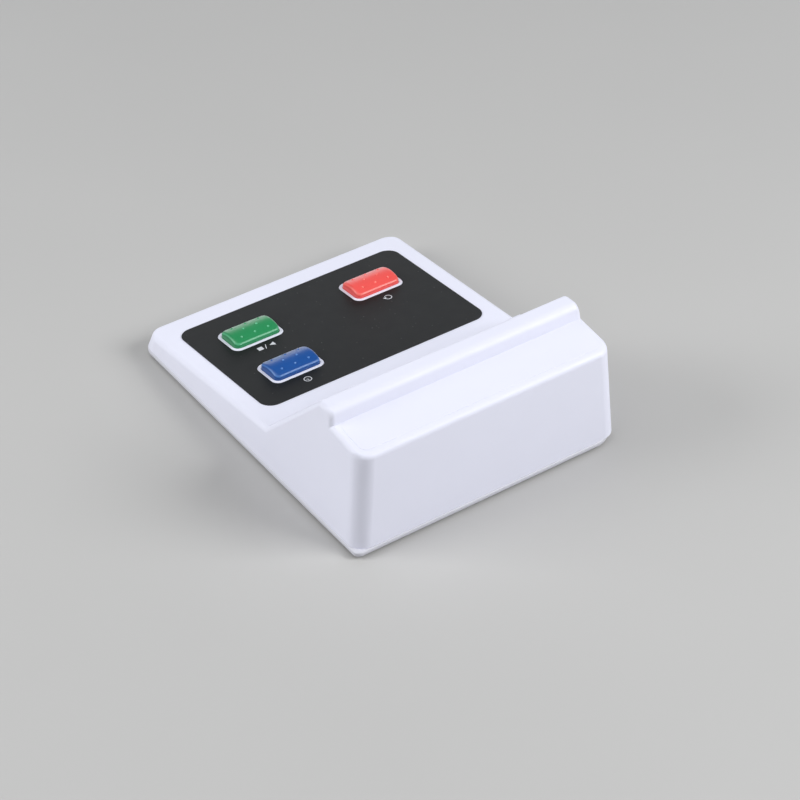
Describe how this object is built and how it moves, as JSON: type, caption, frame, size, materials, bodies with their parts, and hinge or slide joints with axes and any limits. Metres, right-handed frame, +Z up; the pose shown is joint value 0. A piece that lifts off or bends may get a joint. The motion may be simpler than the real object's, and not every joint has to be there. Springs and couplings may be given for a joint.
{
  "type": "digital desk timer",
  "caption": "Wedge-shaped desk timer with a sloping key deck, coloured press keys, a leaning liquid-crystal display, a rear roof and a battery bay underneath.",
  "frame": {"origin": "on the surface the timer stands on, under the middle of the base", "axes": "+X to the user's right, +Y from the user towards the back, +Z up"},
  "size_m": [0.1094, 0.1386, 0.0475],
  "materials": {
    "case_white": "fine satin moulded",
    "base_white": "fine satin moulded",
    "overlay_black": "satin printed film",
    "key_green": "gloss",
    "key_blue": "gloss",
    "key_red": "gloss",
    "black_plastic": "moulded",
    "bright_steel": "plated",
    "screw_steel": "zinc plated",
    "board_green": "solder mask",
    "cable_grey": "ribbed flat cable",
    "window_clear": "clear acrylic",
    "lcd_glass": "polarised glass",
    "reflector_foil": "satin foil",
    "holder_plastic": "moulded",
    "strip_rubber": "silicone",
    "epoxy_black": "cast resin",
    "chip_brown": "ceramic body",
    "cell_jacket": "plain sleeve",
    "contact_nickel": "nickel plated",
    "lead_red": "insulation",
    "lead_black": "insulation",
    "foot_rubber": "matt"
  },
  "bodies": {
    "case": {"upper_case": "case_white", "base_cover": "base_white", "key_overlay": "overlay_black", "switch_housings": "bright_steel", "keypad_board": "board_green", "keypad_screws": "screw_steel", "ribbon_cable": "cable_grey", "display_window": "window_clear", "lcd_panel": "lcd_glass", "lcd_reflector": "reflector_foil", "lcd_holder": "holder_plastic", "contact_strips": "strip_rubber", "main_board": "board_green", "board_screws": "screw_steel", "controller_blob": "epoxy_black", "clock_crystal": "bright_steel", "chip_parts": "chip_brown", "buzzer": "black_plastic", "battery_cells": "cell_jacket", "positive_contact": "contact_nickel", "negative_contact": "contact_nickel", "bridge_contact": "contact_nickel", "positive_lead": "lead_red", "negative_lead": "lead_black", "case_screws": "screw_steel", "rubber_feet": "foot_rubber"},
    "start_stop_key": {"start_stop_key": "key_green"},
    "mode_key": {"mode_key": "key_blue"},
    "split_reset_key": {"split_reset_key": "key_red"},
    "start_stop_plunger": {"start_stop_plunger": "black_plastic"},
    "mode_plunger": {"mode_plunger": "black_plastic"},
    "split_reset_plunger": {"split_reset_plunger": "black_plastic"},
    "battery_door": {"battery_door": "base_white"}
  },
  "joints": [
    {"name": "start_stop_press", "type": "slide", "parent": "case", "child": "start_stop_key", "axis": [0, 0.1011, -0.9949], "range_m": [0, 0.0006], "stiffness_N_per_m": 1500},
    {"name": "mode_press", "type": "slide", "parent": "case", "child": "mode_key", "axis": [0, 0.1011, -0.9949], "range_m": [0, 0.0006], "stiffness_N_per_m": 1500},
    {"name": "split_reset_press", "type": "slide", "parent": "case", "child": "split_reset_key", "axis": [0, 0.1011, -0.9949], "range_m": [0, 0.0006], "stiffness_N_per_m": 1500},
    {"name": "start_stop_plunger_slide", "type": "slide", "parent": "case", "child": "start_stop_plunger", "axis": [0, 0.1011, -0.9949], "range_m": [0, 0.0006]},
    {"name": "mode_plunger_slide", "type": "slide", "parent": "case", "child": "mode_plunger", "axis": [0, 0.1011, -0.9949], "range_m": [0, 0.0006]},
    {"name": "split_reset_plunger_slide", "type": "slide", "parent": "case", "child": "split_reset_plunger", "axis": [0, 0.1011, -0.9949], "range_m": [0, 0.0006]},
    {"name": "battery_door_tilt", "type": "hinge", "parent": "case", "child": "battery_door", "pos_m": [0, 0.03065, 0.001], "axis": [-1, 0, 0], "range_deg": [0, 40]}
  ],
  "couplings": [
    {"joint": "start_stop_plunger_slide", "follows": "start_stop_press", "ratio": 1},
    {"joint": "mode_plunger_slide", "follows": "mode_press", "ratio": 1},
    {"joint": "split_reset_plunger_slide", "follows": "split_reset_press", "ratio": 1}
  ]
}
